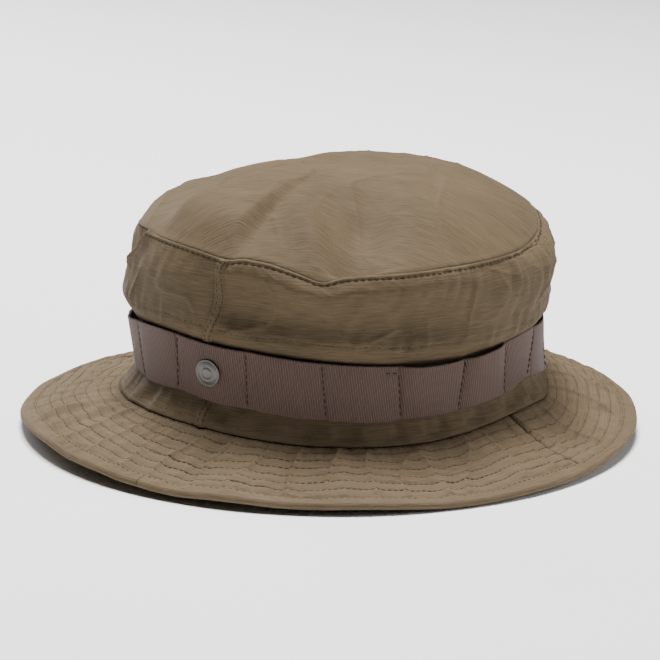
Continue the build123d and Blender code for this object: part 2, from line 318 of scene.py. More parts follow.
def top_point(x_share, y_share, outset=0.0):
    """A point of the top panel from its place in a unit disc."""
    radius = np.minimum(np.hypot(x_share, y_share), 1.0)
    tau = np.arctan2(x_share, -y_share)
    ring = ring_values(CROWN, np.full(np.shape(radius), SEAM))
    reach = radius + seam_out(tau, 0) * radius ** 6 / 95
    x = ring[..., 0] * reach * np.sin(tau) + SHIFT_X * ring[..., 7]
    y = -ring[..., 1] * reach * np.cos(tau) + SHIFT_Y * ring[..., 7]
    level = ring[..., 2]
    edge = ring_height(tau, ring) + seam_lift(tau) - level
    dome = DOME * (1 - radius ** 2.42)
    roll = -0.6 * smooth(0.989, 1.0, radius) ** 2 + 0.15 * hill(radius, 0.983, 0.008)
    z = level + edge * radius ** 3 + dome + roll + top_relief(x, y, radius, tau) * smooth(1.005, 0.96, radius)
    return np.stack([x, y, z + outset], axis=-1)


# ---------------------------------------------------------------- the brim

BRIM = [
    (0.0, 90.5, 108.0, HEM + 0.5, 0.2, -1.2, 2.4, -1.7, 1.9),
    (0.5, 0.5 * (90.8 + EDGE_WIDE), 0.5 * (107.8 + EDGE_LONG), 0, 0, 0, 0, 0, 0.8),
    (1.0, EDGE_WIDE, EDGE_LONG, 0, 0, 0, 0, 0, 0),
]
REST = 3.2                         # least height of the upper face over the table
SOFT = 0.25                        # how gently the brim comes to rest there

# angle round the hat in degrees and the height of the brim's edge there
EDGE_HEIGHT = [
    (-180, 7.0), (-170, 7.4), (-160, 6.9), (-150, 5.4), (-140, 4.4), (-125, 3.4), (-110, 3.2), (-100, 3.4),
    (-92, 4.2), (-84, 4.2), (-76, 4.0), (-69, 5.0), (-62, 4.7), (-55, 5.6), (-47, 7.2), (-39, 8.9),
    (-30, 9.6), (-25, 9.5), (-20, 8.2), (-15, 7.9), (-9, 7.6), (-6, 6.6), (-3, 6.2), (0, 6.0), (3, 5.4),
    (9, 5.2), (13, 5.8), (20, 5.8), (27, 5.2), (34, 5.2), (41, 5.3), (46, 4.8), (51, 4.2), (55, 3.5),
    (62, 3.2), (66, 3.5), (72, 4.0), (80, 4.1), (87, 4.7), (92, 5.2), (97, 6.5), (103, 7.0), (111, 7.3),
    (120, 7.5), (130, 9.1), (140, 8.6), (146, 9.2), (152, 8.9), (160, 8.2), (170, 7.6), (180, 7.0)]

# angle round the hat in degrees and how far the brim bellies up halfway out
BRIM_BELLY = [
    (-180, 0.0), (-90, 0.0), (-72, 0.3), (-66, -0.7), (-60, -0.3), (-50, 1.0), (-41, 2.5), (-36, 2.0),
    (-31, 0.0), (-27, -1.0), (-22, -0.4), (-15, -0.8), (-9, -2.3), (-4, -2.2), (1, -2.9), (5, -3.4),
    (8, -4.2), (10, -3.0), (13, -1.8), (17, -1.4), (21, -2.3), (24, -3.2), (28, -3.8), (32, -3.9),
    (35, -3.1), (38, -2.3), (44, -2.8), (51, -3.7), (57, -3.7), (62, -4.3), (69, -3.8), (72, -2.1),
    (77, -1.7), (83, -2.6), (86, -3.7), (91, -4.4), (98, -6.9), (104, -7.4), (110, -5.5), (118, -3.0),
    (123, 1.0), (130, 2.5), (150, 1.0), (180, 0.0)]


# angle round the hat in degrees and how far the inner brim lies flatter there
BRIM_SHOULDER = [
    (-180, 0.5), (-90, 0.5), (-20, 0.5), (10, 0.0), (20, 0.5), (27, 2.0), (35, 3.2), (45, 2.3), (52, 1.8),
    (65, 1.2), (80, 0.5), (100, 0.0), (180, 0.5)]


def brim_waves(tau, share):
    """Small waves that all layers of the brim share."""
    pulls = 0.22 * ripple(tau + 0.01 * share, 58, 61)
    turned = np.abs((tau + np.pi) % (2 * np.pi) - np.pi)
    around = 118 * turned * np.sign(np.sin(tau) + 1e-9)
    folds = 1.15 * creases(50 * share, around, 30, 64, stretch=2.6, sharp=0.22)
    return (pulls + folds) * smooth(0.0, 0.12, share) * smooth(0.98, 0.8, share)


def brim_height(tau, share):
    """Height of the brim's upper face, before its waves and quilting."""
    hem = ring_height(tau, ring_values(BRIM, 0 * share)) + rise(tau, HEM_RISE)
    straight = hem + (rise(tau, EDGE_HEIGHT) - hem) * share
    flat = np.maximum(share * (BIND - share), 0) / (0.5 * BIND) ** 2
    return straight + 4 * share * (1 - share) * rise(tau, BRIM_BELLY) + flat * rise(tau, BRIM_SHOULDER)


def brim_quilt(tau, share):
    """How far a layer swells between the stitch rows."""
    stops = np.array([0.0] + ROWS + [BIND])
    index = np.clip(np.searchsorted(stops, share) - 1, 0, len(stops) - 2)
    within = np.clip((share - stops[index]) / (stops[index + 1] - stops[index]), 0, 1)
    puff = np.clip(np.sin(np.pi * within), 0, 1) ** 0.6
    quilt = 0
    for channel in range(len(stops) - 1):
        wave = np.abs(ripple(tau, 40, 50 + channel)) + 0.6 * np.abs(ripple(tau, 76, 70 + channel))
        quilt = quilt + (index == channel) * (0.14 + 0.30 * wave) * puff
    return quilt * smooth(BIND, BIND - 0.02, share)


def side_groove(tau, width=1.1):
    """1 in the slit between the brim's halves, 0 elsewhere."""
    away = np.abs(np.abs((tau + np.pi) % (2 * np.pi) - np.pi) - BRIM_SEAM) * 115
    return np.exp(-(away / width) ** 2)


def brim_point(tau, share, lift=0.0, quilted=1.0):
    """A point of the brim's upper face, or of a layer under it. quilted below 0 swells downwards."""
    point = ring_point(tau, ring_values(BRIM, share))
    height = brim_height(tau, share) + brim_waves(tau, share)
    rested = REST + SOFT * np.logaddexp(0, (height - REST) / SOFT)
    point[..., 2] = rested + quilted * brim_quilt(tau, share) + lift
    return point


# ---------------------------------------------------------------- meshes

def face_normals(points, closed):
    """Unit normals of a grid of points, from its two directions."""
    if closed:
        along = np.roll(points, -1, axis=0) - np.roll(points, 1, axis=0)
    else:
        along = np.gradient(points, axis=0)
    across = np.gradient(points, axis=1)
    normal = np.cross(along, across)
    return normal / np.maximum(np.linalg.norm(normal, axis=-1, keepdims=True), 1e-9)


def grid_faces(count_u, count_v, closed, start=0, flip=False):
    """Four-sided faces over a grid of points."""
    steps = count_u if closed else count_u - 1
    u, v = np.meshgrid(np.arange(steps), np.arange(count_v - 1), indexing="ij")
    u_next = (u + 1) % count_u
    corners = [u * count_v + v, u_next * count_v + v, u_next * count_v + v + 1, u * count_v + v + 1]
    faces = np.stack(corners, axis=-1).reshape(-1, 4) + start
    return faces[:, ::-1] if flip else faces


def rim_faces(outer, inner):
    """Faces between two matching rows of point numbers."""
    return np.stack([outer[:-1], inner[:-1], inner[1:], outer[1:]], axis=-1)


def make_object(name, points, faces, material, cloth=None):
    """A mesh piece in metres that rides on the hat. cloth holds each point's place in the weave."""
    mesh = bpy.data.meshes.new(name)
    mesh.vertices.add(len(points))
    mesh.vertices.foreach_set("co", (np.asarray(points, float) * MM).ravel())
    faces = np.asarray(faces, dtype=np.int32)
    mesh.loops.add(faces.size)
    mesh.loops.foreach_set("vertex_index", faces.ravel())
    mesh.polygons.add(len(faces))
    mesh.polygons.foreach_set("loop_start", np.arange(0, faces.size, faces.shape[1], dtype=np.int32))
    mesh.update(calc_edges=True)
    mesh.validate()
    mesh.polygons.foreach_set("use_smooth", np.ones(len(mesh.polygons), dtype=bool))
    weave = mesh.attributes.new("weave", "FLOAT_VECTOR", "POINT")
    place = np.asarray(points if cloth is None else cloth, float) * MM
    weave.data.foreach_set("vector", place.ravel())
    mesh.materials.append(material)
    piece = bpy.data.objects.new(name + "_look", mesh)
    bpy.context.collection.objects.link(piece)
    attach(piece, BODY)
    return piece


def cloth_piece(name, outer, thick, closed, material, cloth, flip=False):
    """A closed sheet: a grid of outer points and the same grid moved in by its thickness."""
    normal = face_normals(outer, closed) * (-1 if flip else 1)
    inner = outer - normal * np.asarray(thick)
    count_u, count_v = outer.shape[:2]
    size = count_u * count_v
    faces = [
        grid_faces(count_u, count_v, closed, 0, flip),
        grid_faces(count_u, count_v, closed, size, not flip),
    ]
    numbers = np.arange(size).reshape(count_u, count_v)
    rows = [numbers[:, 0], numbers[::-1, -1]]
    if closed:
        rows = [np.append(row, row[0]) for row in rows]
    else:
        rows = rows + [numbers[0, ::-1], numbers[-1, :]]
    for row in rows:
        rim = rim_faces(row, row + size)
        faces.append(rim[:, ::-1] if flip else rim)
    points = np.concatenate([outer.reshape(-1, 3), inner.reshape(-1, 3)])
    places = np.concatenate([cloth.reshape(-1, 3)] * 2)
    return make_object(name, points, np.concatenate(faces), material, places)


def around(start, end, steps, low, high, rows):
    """Even grids of angle and height."""
    tau = np.linspace(start, end, steps)
    height = np.linspace(low, high, rows)
    return np.meshgrid(tau, height, indexing="ij")


def place_in_cloth(*values):
    """Cloth coordinates in millimetres from two grids."""
    across, up = np.broadcast_arrays(*values)
    return np.stack([across, up, 0 * across], axis=-1)


def thread_rows(name, lines, material, pitch=3.1, share=0.78, radius=0.2, sunk=0.25):
    """Rows of single stitches. Each line is a pair of points and outward normals along a seam."""
    sides, rings = 6, 5
    all_points, all_faces = [], []
    ring_at = np.linspace(0, 1, rings)
    thickness = radius * np.array([0.45, 0.95, 1.0, 0.95, 0.45])
    angles = np.arange(sides) * 2 * np.pi / sides
    for points, normals in lines:
        step = np.linalg.norm(np.diff(points, axis=0), axis=1)
        run = np.concatenate([[0], np.cumsum(step)])
        count = max(1, int(run[-1] / pitch))
        starts = np.arange(count) * run[-1] / count
        at = starts[:, None] + ring_at * pitch * share
        centre = np.stack([np.interp(at, run, points[:, k]) for k in range(3)], axis=-1)
        normal = np.stack([np.interp(at, run, normals[:, k]) for k in range(3)], axis=-1)
        normal = normal / np.linalg.norm(normal, axis=-1, keepdims=True)
        lift = radius * 0.9 - sunk * (2 * ring_at - 1) ** 4
        centre = centre + normal * lift[:, None]
        along = centre[:, -1:] - centre[:, :1]
        along = along / np.linalg.norm(along, axis=-1, keepdims=True)
        across = np.cross(along, normal)
        for number in range(count):
            base = len(all_points) * rings * sides
            swing = np.cos(angles)[None, :, None] * across[number][:, None] * thickness[:, None, None]
            rise = np.sin(angles)[None, :, None] * normal[number][:, None] * thickness[:, None, None]
            all_points.append((centre[number][:, None] + swing + rise).reshape(-1, 3))
            body = grid_faces(rings, sides, False, base)
            wrap = [[base + r * sides + sides - 1, base + (r + 1) * sides + sides - 1,
                     base + (r + 1) * sides, base + r * sides] for r in range(rings - 1)]
            ends = []
            for ring, turn in ((0, 1), (rings - 1, -1)):
                first = base + ring * sides
                ends.append([first, first + 1, first + 2, first + 3][::turn])
                ends.append([first, first + 3, first + 4, first + 5][::turn])
            all_faces.append(np.concatenate([body, np.array(wrap), np.array(ends)]))
    return make_object(name, np.concatenate(all_points), np.concatenate(all_faces), material)


def seam_line(surface, tau, other, swap=False):
    """Points and normals along a line on a surface."""
    small = 0.002
    point = surface(tau, other)
    by_tau = surface(tau + small, other) - surface(tau - small, other)
    by_other = surface(tau, other + small) - surface(tau, other - small)
    normal = np.cross(by_tau, by_other) * (-1 if swap else 1)
    return point, normal / np.linalg.norm(normal, axis=-1, keepdims=True)


# ---------------------------------------------------------------- materials

def node(tree, kind, **settings):
    made = tree.nodes.new(kind)
    for key, value in settings.items():
        if key.startswith("in_"):
            made.inputs[int(key[3:])].default_value = value
        else:
            setattr(made, key, value)
    return made


def link(tree, source, target):
    tree.links.new(source, target)


def maths(tree, operation, first, second=None):
    made = node(tree, "ShaderNodeMath", operation=operation)
    for index, value in enumerate((first, second)):
        if value is None:
            continue
        if isinstance(value, (int, float)):
            made.inputs[index].default_value = value
        else:
            link(tree, value, made.inputs[index])
    return made.outputs[0]


def noise(tree, vector, scale, stretch=(1, 1, 1), detail=2.0, rough=0.5):
    mapping = node(tree, "ShaderNodeMapping")
    mapping.inputs["Scale"].default_value = stretch
    link(tree, vector, mapping.inputs["Vector"])
    made = node(tree, "ShaderNodeTexNoise")
    made.inputs["Scale"].default_value = scale
    made.inputs["Detail"].default_value = detail
    made.inputs["Roughness"].default_value = rough
    link(tree, mapping.outputs[0], made.inputs["Vector"])
    return made.outputs["Fac"]


def stripes(tree, vector, pitch, direction, distortion=0.0):
    """Fine even lines, pitch in metres."""
    made = node(tree, "ShaderNodeTexWave", wave_type="BANDS", bands_direction=direction)
    made.inputs["Scale"].default_value = math.pi / (10 * pitch)
    made.inputs["Distortion"].default_value = distortion
    made.inputs["Detail"].default_value = 1.0
    made.inputs["Detail Scale"].default_value = 1.5
    link(tree, vector, made.inputs["Vector"])
    return made.outputs["Fac"]


def new_material(name):
    material = bpy.data.materials.new(name)
    material.use_nodes = True
    tree = material.node_tree
    shader = tree.nodes["Principled BSDF"]
    return material, tree, shader


def weave_input(tree):
    return node(tree, "ShaderNodeAttribute", attribute_name="weave").outputs["Vector"]


def colour_mix(tree, factor, dark, light):
    ramp = node(tree, "ShaderNodeMix", data_type="RGBA")
    ramp.inputs["A"].default_value = (*dark, 1)
    ramp.inputs["B"].default_value = (*light, 1)
    link(tree, factor, ramp.inputs["Factor"])
    return ramp.outputs["Result"]


def add_bump(tree, shader, height, distance, strength=1.0):
    bump = node(tree, "ShaderNodeBump")
    bump.inputs["Strength"].default_value = strength
    bump.inputs["Distance"].default_value = distance
    link(tree, height, bump.inputs["Height"])
    link(tree, bump.outputs[0], shader.inputs["Normal"])


def cloth_material(name, dark, light, rib=0.0011, rough=0.7):
    """Thin plain-woven cloth with cross ribs, slubs and a faint sheen."""
    material, tree, shader = new_material(name)
    place = weave_input(tree)
    slub = noise(tree, place, 1.0, (95, 1500, 1), detail=4, rough=0.6)
    blotch = noise(tree, place, 28, detail=3)
    rib_line = stripes(tree, place, rib, "Y", 1.2)
    warp = stripes(tree, place, 0.00055, "X", 0.6)
    tone = maths(tree, "MULTIPLY", slub, 1.15)
    tone = maths(tree, "ADD", tone, maths(tree, "MULTIPLY", blotch, 0.5))
    tone = maths(tree, "ADD", tone, maths(tree, "MULTIPLY", rib_line, 0.06))
    tone = maths(tree, "SUBTRACT", tone, 0.36)
    link(tree, colour_mix(tree, tone, dark, light), shader.inputs["Base Color"])
    roughness = maths(tree, "ADD", maths(tree, "MULTIPLY", slub, 0.16), rough - 0.08)
    link(tree, roughness, shader.inputs["Roughness"])
    height = maths(tree, "ADD", maths(tree, "MULTIPLY", slub, 0.9), maths(tree, "MULTIPLY", rib_line, 0.2))
    height = maths(tree, "ADD", height, maths(tree, "MULTIPLY", warp, 0.15))
    crumple = noise(tree, place, 90, (1, 1.6, 1), detail=6, rough=0.62)
    height = maths(tree, "ADD", height, maths(tree, "MULTIPLY", crumple, 3.2))
    add_bump(tree, shader, height, 0.00016)
    shader.inputs["Sheen Weight"].default_value = 0.02
    shader.inputs["Sheen Roughness"].default_value = 0.45
    shader.inputs["Sheen Tint"].default_value = (0.75, 0.68, 0.58, 1)
    shader.inputs["Specular IOR Level"].default_value = 0.07
    return material


def webbing_material(name, dark, light):
    """Fine upright grosgrain ribs crossed by a tight weft."""
    material, tree, shader = new_material(name)
    place = weave_input(tree)
    rib = stripes(tree, place, 0.00105, "X", 0.15)
    weft = stripes(tree, place, 0.00038, "Y", 0.3)
    patch = noise(tree, place, 60, detail=3)
    fleck = noise(tree, place, 1.0, (1400, 900, 1), detail=2)
    tone = maths(tree, "ADD", maths(tree, "MULTIPLY", rib, 0.55), maths(tree, "MULTIPLY", patch, 0.3))
    tone = maths(tree, "ADD", tone, maths(tree, "MULTIPLY", fleck, 0.3))
    tone = maths(tree, "SUBTRACT", tone, 0.1)
    link(tree, colour_mix(tree, tone, dark, light), shader.inputs["Base Color"])
    link(tree, maths(tree, "ADD", maths(tree, "MULTIPLY", rib, -0.12), 0.66), shader.inputs["Roughness"])
    height = maths(tree, "ADD", maths(tree, "MULTIPLY", rib, 1.0), maths(tree, "MULTIPLY", weft, 0.3))
    add_bump(tree, shader, height, 0.00022)
    shader.inputs["Sheen Weight"].default_value = 0.04
    shader.inputs["Specular IOR Level"].default_value = 0.12
    return material


def thread_material(name, dark, light):
    """Twisted sewing thread."""
    material, tree, shader = new_material(name)
    place = weave_input(tree)
    twist = noise(tree, place, 900, (1, 1, 1), detail=2)
    link(tree, colour_mix(tree, twist, dark, light), shader.inputs["Base Color"])
    link(tree, maths(tree, "ADD", maths(tree, "MULTIPLY", twist, 0.15), 0.75), shader.inputs["Roughness"])
    shader.inputs["Specular IOR Level"].default_value = 0.12
    add_bump(tree, shader, twist, 0.0001)
    return material


def metal_material(name):
    """Dull grey plated metal with fine scratches."""
    material, tree, shader = new_material(name)
    place = weave_input(tree)
    scratch = noise(tree, place, 1.0, (2600, 300, 300), detail=3)
    patina = noise(tree, place, 350, detail=4)
    tone = maths(tree, "ADD", maths(tree, "MULTIPLY", scratch, 0.5), maths(tree, "MULTIPLY", patina, 0.5))
    link(tree, colour_mix(tree, tone, (0.07, 0.066, 0.062), (0.17, 0.16, 0.15)), shader.inputs["Base Color"])
    link(tree, maths(tree, "ADD", maths(tree, "MULTIPLY", patina, 0.25), 0.36), shader.inputs["Roughness"])
    add_bump(tree, shader, tone, 0.00004)
    shader.inputs["Metallic"].default_value = 0.85
    return material


CROWN_CLOTH = cloth_material("crown_cloth", (0.054, 0.0385, 0.0215), (0.150, 0.110, 0.066))
BRIM_CLOTH = cloth_material("brim_cloth", (0.062, 0.0445, 0.0255), (0.166, 0.122, 0.076), rib=0.0012)
INSIDE_CLOTH = cloth_material(
    "sweatband_cloth", (0.085, 0.064, 0.044), (0.135, 0.105, 0.075), rib=0.0016, rough=0.8)
STIFFENER = cloth_material(
    "interlining_cloth", (0.45, 0.43, 0.38), (0.62, 0.60, 0.55), rib=0.0009, rough=0.85)
LABEL_CLOTH = cloth_material("label_cloth", (0.52, 0.51, 0.47), (0.66, 0.65, 0.61), rib=0.0006)
WEBBING = webbing_material("grosgrain", (0.068, 0.042, 0.034), (0.162, 0.107, 0.090))
THREAD = thread_material("thread", (0.020, 0.015, 0.009), (0.062, 0.047, 0.030))
BRIM_THREAD = thread_material("brim_thread", (0.045, 0.034, 0.020), (0.110, 0.083, 0.050))
BADGE = metal_material("badge_metal")


# ---------------------------------------------------------------- crown pieces

def crown_halves():
    """The two halves of the crown side. The left one is felled over the right one."""
    even = np.linspace(HEM, SEAM - 8, 78)
    crowded = SEAM - 8 * np.linspace(1, 0, 34)[1:] ** 1.5
    share, height = np.meshgrid(np.linspace(0, 1, 430), np.append(even, crowded), indexing="ij")
    lap = FELL / 102
    made = []
    for name, sign in (("crown_side_left", 1), ("crown_side_right", -1)):
        if sign > 0:
            start = front_seam(height) - lap
            end = back_seam(height) + lap
            tau = start + (end - start) * share
            from_front = (tau - front_seam(height)) * 102
            from_back = (back_seam(height) - tau) * 102
            nearest = np.minimum(from_front, from_back)
            folded = 1.2 * smooth(FELL + 0.6, FELL - 0.3, nearest)
            rows_sunk = 0.70 * hill(np.abs(nearest), FELL_STITCH, 0.5)
            edge_round = 0.45 * smooth(-FELL + 0.7, -FELL, nearest)
            outset = folded - rows_sunk - edge_round
        else:
            start = back_seam(height) - 2 * np.pi + 0.6 * lap
            end = front_seam(height) - 0.3 * lap
            tau = start + (end - start) * share
            outset = 0 * tau
        outer = side_point(tau, height, outset)
        cloth = place_in_cloth(100 * tau, outer[..., 2])
        made.append(cloth_piece(name, outer, CLOTH, False, CROWN_CLOTH, cloth))
    return made


def crown_top_piece():
    """The top panel: a square grid bent into a disc, so that its cloth runs straight."""
    line = np.linspace(-1, 1, 218)
    u, v = np.meshgrid(line, line, indexing="ij")
    x_share, y_share = u * np.sqrt(1 - v * v / 2), v * np.sqrt(1 - u * u / 2)
    outer = top_point(x_share, y_share)
    turn = math.radians(32)
    grain_x = outer[..., 0] * math.cos(turn) + outer[..., 1] * math.sin(turn)
    grain_y = -outer[..., 0] * math.sin(turn) + outer[..., 1] * math.cos(turn)
    cloth = place_in_cloth(grain_x, grain_y)
    return cloth_piece("crown_top", outer, CLOTH, False, CROWN_CLOTH, cloth)


def seam_allowance():
    """The turned-in edge of the top panel, sewn against the inside of the crown side."""
    tau, height = around(-np.pi, np.pi, 401, SEAM - 11, SEAM - 0.6, 14)
    tau, height = tau[:-1], height[:-1]
    outer = side_point(tau, height, -CLOTH - 0.35)
    cloth = place_in_cloth(100 * tau, height)
    return cloth_piece("crown_seam_allowance", outer, 0.9, True, CROWN_CLOTH, cloth)


# ---------------------------------------------------------------- webbing

def arc_angles(steps):
    """Angles at even steps along the crown's wall, from the middle of the front loop."""
    fine = np.linspace(0, 2 * np.pi, 4001)
    wall = ring_values(CROWN, np.full(fine.shape, 0.5 * (WEB_LOW + WEB_HIGH)))
    step = np.linalg.norm(np.diff(ring_point(fine, wall)[:, :2], axis=0), axis=1)
    run = np.concatenate([[0], np.cumsum(step)])
    whole = np.floor(steps)
    return np.interp((steps - whole) * run[-1], run, fine) + 2 * np.pi * whole


BADGE_TURN = 0.0010                # the front loop's middle, as a share of a turn

# stitch, how far it has moved along the webbing and how far it leans, both as shares of a loop
STITCH_SHIFT = [
    (0, -0.04, 0.14), (1, 0.02, 0.08), (2, 0, 0.04), (3, 0, 0.08), (4, -0.02, 0.27), (5, -0.14, 0.16),
    (6, -0.36, 0.50), (7, -0.30, 0.20), (8, -0.1, 0), (16, 0, 0), (17, 0.0, 0.02), (18, -0.04, 0.14)]


def stitch_shift(turn, up):
    """How far the stitches near a place have moved from their even spacing."""
    numbers, moved, leaning = np.array(STITCH_SHIFT).T
    turn = np.mod(turn, LOOPS)
    return np.interp(turn, numbers, moved) + np.interp(turn, numbers, leaning) * (up - 0.5)


# angle round the hat in degrees and how far the webbing's edge stands over its even ring there
WEB_TOP_RISE = [
    (-180, 0.0), (-90, -2.0), (-60, -4.6), (-44, -3.9), (-33, -1.6), (-25, -0.8), (-18, -0.3), (-10, 0.0),
    (7, -0.8), (15, -0.4), (28, -0.8), (54, -0.9), (60, -1.3), (66, -0.8), (75, -0.3), (80.5, 0.8),
    (86.5, 1.8), (96, 2.8), (103, 2.3), (109, 0.8), (117, -0.6), (140, 0.0), (180, 0.0)]
WEB_LOW_RISE = [
    (-180, 0.0), (-90, -1.5), (-60, -3.4), (-48, -2.6), (-37, -0.8), (-31, -1.6), (-24, -1.0), (-17, 0.0),
    (-11, 0.9), (-4, 0.0), (4, -0.5), (12, 0.2), (20, -0.3), (32, -0.4), (44, -0.9), (50, -0.4),
    (54, 0.2), (66, 0.7), (70, 1.6), (82, 2.2), (91, 3.8), (93, 5.6), (97, 6.0), (102, 4.4), (110, 1.6),
    (121, -2.6), (140, -2.0), (180, 0.0)]


def loop_lift(turn, up):
    """How far the webbing stands off the crown. turn counts loops, up is 0 to 1."""
    turn = turn - stitch_shift(turn, up)
    phase = turn - np.floor(turn)
    number = np.floor(turn).astype(int) % LOOPS
    dice = np.random.RandomState(7)
    swell = dice.uniform(0.4, 0.9, LOOPS)
    swell[[3, 4]] = (1.5, 1.8)
    lean = dice.uniform(-0.5, 0.5, LOOPS)
    lean[[1, 2]] = (-1.0, -1.3)
    lean[[3, 4]] = (1.0, 1.3)
    arch = 1 - np.abs(2 * phase - 1) ** 3
    sewn = np.minimum(phase, 1 - phase) * 33.4
    press = -0.40 * np.exp(-(sewn / 0.6) ** 2)
    return 0.7 + swell[number] * arch * (1 + lean[number] * (up - 0.5)) + press


def webbing_point(turn, up, outset=0.0):
    """A point on the webbing's outer face. turn counts loops from the front stitch."""
    tau = arc_angles((np.asarray(turn, float) - 0.5) / LOOPS + BADGE_TURN)
    height = WEB_LOW + (WEB_HIGH - WEB_LOW) * up
    up_share = (up + 0 * tau)[..., None]
    ring = (1 - up_share) * ring_values(CROWN, WEB_LOW) + up_share * ring_values(CROWN, WEB_HIGH)
    point = ring_point(tau, ring, loop_lift(turn, up) + 1.25 + bulge(tau, height) + outset)
    point[..., 2] += (1 - up) * rise(tau, WEB_LOW_RISE) + up * rise(tau, WEB_TOP_RISE)
    return point


def webbing_strip():
    """The webbing, scalloped between its stitches."""
    steps = LOOPS * 72
    turn = np.arange(steps) / 72.0
    turn, up = np.meshgrid(turn, np.linspace(0, 1, 27), indexing="ij")
    outer = webbing_point(turn, up)
    cloth = place_in_cloth(33.4 * turn, 25 * up)
    return cloth_piece("loop_webbing", outer, 1.15, True, WEBBING, cloth)


def webbing_end():
    """The strip's inner end, lapped under its start and caught by the third stitch from the badge."""
    turn, up = np.meshgrid(np.linspace(2.70, 3.12, 30), np.linspace(0, 1, 27), indexing="ij")
    outer = webbing_point(turn, up, -1.15)
    cloth = place_in_cloth(33.4 * turn, 25 * up)
    return cloth_piece("loop_webbing_end", outer, 0.6, False, WEBBING, cloth)


def webbing_line(turn, up):
    """Points and outward normals along a line on the webbing."""
    point = webbing_point(turn, up)
    side = webbing_point(turn + 0.02, up) - webbing_point(turn - 0.02, up)
    upward = webbing_point(turn, up + 0.02) - webbing_point(turn, up - 0.02)
    normal = np.cross(side, upward)
    return point, normal / np.linalg.norm(normal, axis=-1, keepdims=True)


def webbing_threads():
    """One upright row of stitches at every join, and a short tack at the strip's end."""
    lines = []
    for number in range(LOOPS):
        up = np.linspace(0.06, 0.88 if number == 3 else 0.96, 40)
        lines.append(webbing_line(number + stitch_shift(float(number), up), up))
    turn = np.linspace(2.84, 3.03, 12)
    lines.append(webbing_line(turn, np.full(turn.shape, 0.875)))
    return thread_rows("webbing_stitches", lines, THREAD, pitch=2.7, share=0.82, radius=0.24, sunk=0.3)


# ---------------------------------------------------------------- badge

def lathe(name, profile, frame_at, material, segments=96):
    """A turned piece: radius and height pairs round an axis at frame_at."""
    centre, across, upward, outward = frame_at
    angles = np.arange(segments) * 2 * np.pi / segments
    profile = np.asarray(profile, float)
    points = []
    for radius, rise in profile:
        ring = np.cos(angles)[:, None] * across + np.sin(angles)[:, None] * upward
        points.append(centre + radius * ring + rise * outward)
    points = np.stack(points, axis=1)
    faces = grid_faces(segments, len(profile), True)
    return make_object(name, points.reshape(-1, 3), faces, material)


def badge_frame():
    """Where the badge sits: the middle of the front loop and its three directions."""
    turn, up = np.array([0.5]), np.array([0.5])
    centre = webbing_point(turn, up)[0]
    side = webbing_point(turn + 0.05, up)[0] - webbing_point(turn - 0.05, up)[0]
    rise = webbing_point(turn, up + 0.1)[0] - webbing_point(turn, up - 0.1)[0]
    outward = np.cross(side, rise)
    across, outward = side / np.linalg.norm(side), outward / np.linalg.norm(outward)
    return centre, across, np.cross(outward, across), outward


def badge_pieces():
    """A domed cap with a rolled rim and a ring groove, its post, and the washer behind."""
    cap = [(0.02, 1.80), (1.0, 1.77), (1.9, 1.70), (2.4, 1.62), (2.6, 1.42), (2.85, 1.38), (3.1, 1.52),
           (3.7, 1.42), (4.5, 1.20), (5.1, 0.96), (5.3, 0.86), (5.5, 0.98), (5.75, 1.04), (5.95, 0.92),
           (6.05, 0.66), (6.03, 0.32), (5.9, 0.12), (5.4, 0.02), (4.0, -0.05), (1.4, -0.1), (1.3, -1.9),
           (1.1, -2.0), (0.02, -2.0)]
    washer = [(1.5, -1.25), (4.2, -1.25), (4.5, -1.35), (4.5, -1.65), (4.2, -1.75), (1.5, -1.75),
              (1.5, -1.25)]
    where = badge_frame()
    return [
        lathe("badge_cap", cap, where, BADGE),
        lathe("badge_washer", washer, where, BADGE),
    ]


# ---------------------------------------------------------------- brim pieces

def brim_layer(name, start, end, lift, thick, material, steps, rows, outer_share, quilted=1.0):
    """One half of a cloth layer of the brim, between two angles."""
    tau, share = np.meshgrid(np.linspace(start, end, steps), brim_shares(outer_share, rows), indexing="ij")
    clipped = np.clip(share, 0, 1)
    outer = brim_point(tau, clipped, lift, quilted)
    inwards = np.minimum(share, 0)[..., None] * 60
    outer[..., :2] += inwards * outer[..., :2] / np.linalg.norm(outer[..., :2], axis=-1, keepdims=True)
    outer[..., 2] -= 1.5 * side_groove(tau) * smooth(BIND + 0.01, BIND - 0.02, share)
    cloth = place_in_cloth(118 * tau, 44 * share)
    return cloth_piece(name, outer, thick, False, material, cloth, flip=True)


def brim_shares(last, per_channel):
    """Places across the brim that crowd towards the stitch rows."""
    stops = [-0.03, 0.0] + ROWS + [BIND, last]
    crowd = (1 - np.cos(np.pi * np.arange(per_channel) / per_channel)) / 2
    parts = [low + (high - low) * crowd for low, high in zip(stops, stops[1:])]
    return np.append(np.concatenate(parts), last)


def brim_halves():
    """Upper layer, stiffener and lower layer, front and back."""
    slit = 0.0024
    made = {}
    front = (-BRIM_SEAM + slit, BRIM_SEAM - slit)
    back = (BRIM_SEAM + slit, 2 * np.pi - BRIM_SEAM - slit)
    for side, (start, end) in (("front", front), ("rear", back)):
        made["brim_top_" + side] = brim_layer(
            "brim_top_" + side, start, end, 0, CLOTH, BRIM_CLOTH, 560, 8, 0.955)
        made["brim_interlining_" + side] = brim_layer(
            "brim_interlining_" + side, start, end, -0.9, 0.7, STIFFENER, 220, 2, 0.95, 0.0)
        made["brim_under_" + side] = brim_layer(
            "brim_under_" + side, start, end, -2.1, CLOTH, BRIM_CLOTH, 480, 7, 0.955, -0.7)
    return made


